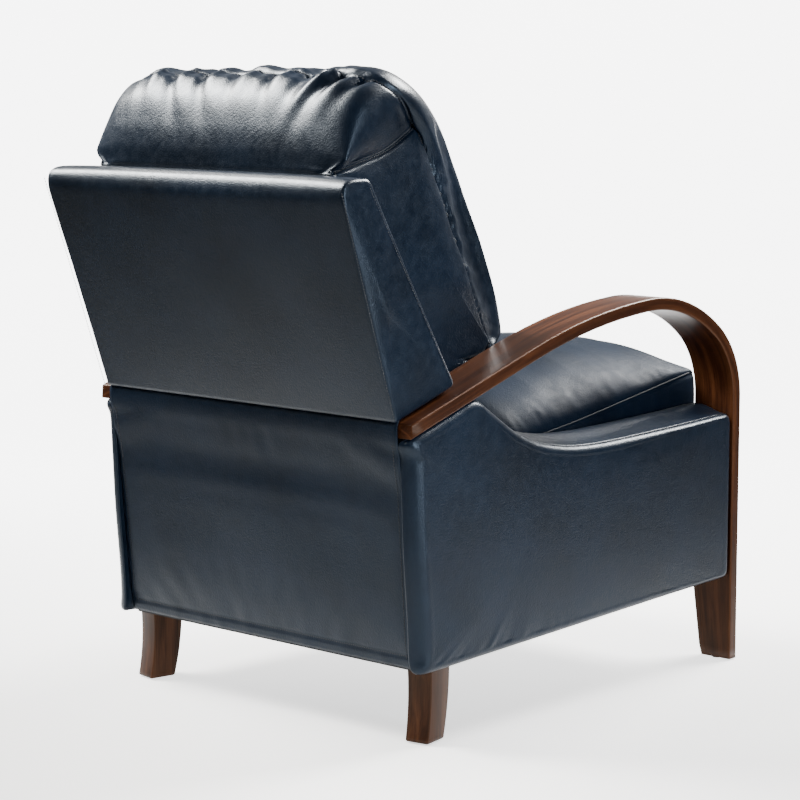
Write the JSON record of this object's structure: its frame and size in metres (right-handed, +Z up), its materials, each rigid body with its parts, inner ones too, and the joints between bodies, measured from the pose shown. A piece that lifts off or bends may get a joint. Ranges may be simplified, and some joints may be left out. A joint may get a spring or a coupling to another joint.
{
  "type": "push-back recliner armchair",
  "caption": "Push-back recliner armchair in dark leather with bentwood arms, overstuffed back pillow and fold-out footrest.",
  "frame": {"origin": "on the floor, under the middle of the chair's bounding box at rest", "axes": "+Z up, the chair faces -Y, +X is the sitter's left"},
  "size_m": [0.67, 0.9341, 0.9965],
  "materials": {
    "leather": "dark navy pebbled leather, semi-gloss",
    "walnut": "dark walnut stain, satin lacquer",
    "frame_wood": "bare sawn softwood and ply",
    "black_steel": "black powder coat",
    "zinc_steel": "zinc plated",
    "black_cloth": "black spunbond dust cloth",
    "nylon": "brown moulded nylon"
  },
  "bodies": {
    "base": {"arm_bolts": "zinc_steel", "bentwood_arm_left": "walnut", "bentwood_arm_right": "walnut", "bottom_cloth": "black_cloth", "bracket_spacers": "zinc_steel", "centre_stretcher": "frame_wood", "corner_blocks": "frame_wood", "flap_strip": "black_cloth", "floor_glides": "nylon", "front_rail": "frame_wood", "guide_bolts": "zinc_steel", "guide_bracket_left": "black_steel", "guide_bracket_right": "black_steel", "leg_plates": "zinc_steel", "pivot_bracket_left": "black_steel", "pivot_bracket_right": "black_steel", "pivot_pins": "zinc_steel", "rear_flap": "leather", "rear_leg_left": "walnut", "rear_leg_right": "walnut", "rear_rail": "frame_wood", "side_frame_left": "frame_wood", "side_frame_right": "frame_wood", "side_panel_left": "leather", "side_panel_right": "leather"},
    "back": {"outside_back_cover": "leather", "back_side_right": "frame_wood", "back_side_left": "frame_wood", "back_top_rail": "frame_wood", "back_bottom_rail": "frame_wood", "back_springs": "black_steel", "back_pillow": "leather", "lower_back_pad": "leather", "back_bracket_right": "black_steel", "back_bracket_left": "black_steel"},
    "seat": {"seat_cushion": "leather", "seat_side_rail_right": "frame_wood", "seat_side_rail_left": "frame_wood", "seat_front_rail": "frame_wood", "seat_rear_rail": "frame_wood", "seat_springs": "black_steel", "slide_plate_right": "black_steel", "slide_plate_left": "black_steel", "slide_spacers": "zinc_steel", "lift_pins": "zinc_steel"},
    "lift_links": {"lift_link_right": "black_steel", "lift_link_left": "black_steel", "lift_cross_tube": "black_steel", "knee_pins": "zinc_steel"},
    "reach_links": {"reach_link_right": "black_steel", "reach_link_left": "black_steel", "footrest_pins": "zinc_steel"},
    "footrest": {"footrest_board": "frame_wood", "footrest_pad": "leather", "footrest_bracket_right": "black_steel", "footrest_bracket_left": "black_steel"}
  },
  "joints": [
    {"name": "back_recline", "type": "hinge", "parent": "base", "child": "back", "pos_m": [0, 0.311, 0.38], "axis": [-1, 0, 0], "range_deg": [0, 32], "deforming": ["rear_flap"]},
    {"name": "seat_slide", "type": "slide", "parent": "base", "child": "seat", "axis": [0, -0.9781, 0.2079], "range_m": [0, 0.06]},
    {"name": "footrest_lift", "type": "hinge", "parent": "seat", "child": "lift_links", "pos_m": [0, -0.23, 0.316], "axis": [-1, 0, 0], "range_deg": [0, 78.4]},
    {"name": "footrest_reach", "type": "hinge", "parent": "lift_links", "child": "reach_links", "pos_m": [0, -0.245, 0.155], "axis": [-1, 0, 0], "range_deg": [-108.6, 0]},
    {"name": "footrest_turn", "type": "hinge", "parent": "reach_links", "child": "footrest", "pos_m": [0, -0.412, 0.32], "axis": [-1, 0, 0], "range_deg": [0, 112.3]}
  ],
  "couplings": [
    {"joint": "seat_slide", "follows": "back_recline", "m_per_rad": 0.10725},
    {"joint": "footrest_lift", "follows": "back_recline", "ratio": 2.4469},
    {"joint": "footrest_reach", "follows": "back_recline", "ratio": -3.3906},
    {"joint": "footrest_turn", "follows": "back_recline", "ratio": 3.5063}
  ]
}
